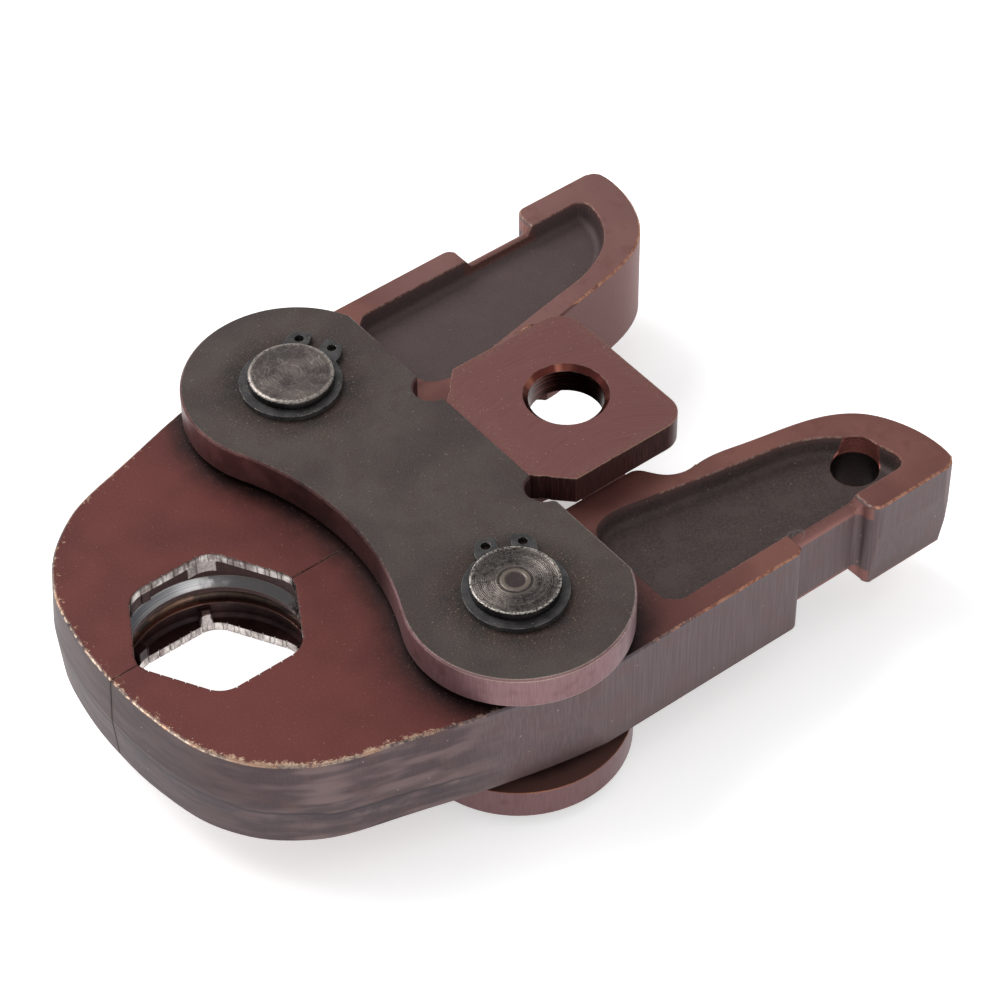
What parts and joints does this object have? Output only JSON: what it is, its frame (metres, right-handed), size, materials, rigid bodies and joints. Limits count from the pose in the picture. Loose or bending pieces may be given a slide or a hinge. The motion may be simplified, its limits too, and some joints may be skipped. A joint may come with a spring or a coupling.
{
  "type": "press fitting tool jaw",
  "caption": "Hinged steel pressing jaw with a hexagonal press contour, T-shaped link plates carrying a retaining-pin bore, pivot pins with circlips, and pocketed lever tails for the drive rollers.",
  "frame": {"origin": "on the axis of the bore for the machine's retaining pin, halfway through the thickness", "axes": "+X from the nose toward the lever tails, +Y toward the left lever, +Z along the bore and the pivot pins, up out of the top link plate"},
  "size_m": [0.1508, 0.1072, 0.042],
  "materials": {
    "jaw_steel": "forged and ground steel, red-brown oxide, worn bright at the edges",
    "plate_steel": "matte dark oxide, worn bright at the rims",
    "pin_steel": "turned steel, worn grey",
    "circlip_steel": "blued spring steel",
    "spring_steel": "drawn spring wire"
  },
  "bodies": {
    "link_frame": {"top_link_plate": "plate_steel", "bottom_link_plate": "plate_steel", "left_pin": "pin_steel", "right_pin": "pin_steel", "left_top_circlip": "circlip_steel", "right_top_circlip": "circlip_steel", "left_bottom_circlip": "circlip_steel", "right_bottom_circlip": "circlip_steel", "return_spring": "spring_steel"},
    "left_lever": {"left_jaw": "jaw_steel"},
    "right_lever": {"right_jaw": "jaw_steel"}
  },
  "joints": [
    {"name": "left_pivot", "type": "hinge", "parent": "link_frame", "child": "left_lever", "pos_m": [-0.0378, 0.0328, 0], "axis": [0, 0, -1], "range_deg": [0, 15], "stiffness_Nm_per_rad": 1.2, "springref_deg": -14.32, "deforming": ["return_spring"]},
    {"name": "right_pivot", "type": "hinge", "parent": "link_frame", "child": "right_lever", "pos_m": [-0.0378, -0.0328, 0], "axis": [0, 0, 1], "range_deg": [0, 15], "stiffness_Nm_per_rad": 1.2, "springref_deg": -14.32, "deforming": ["return_spring"]}
  ]
}
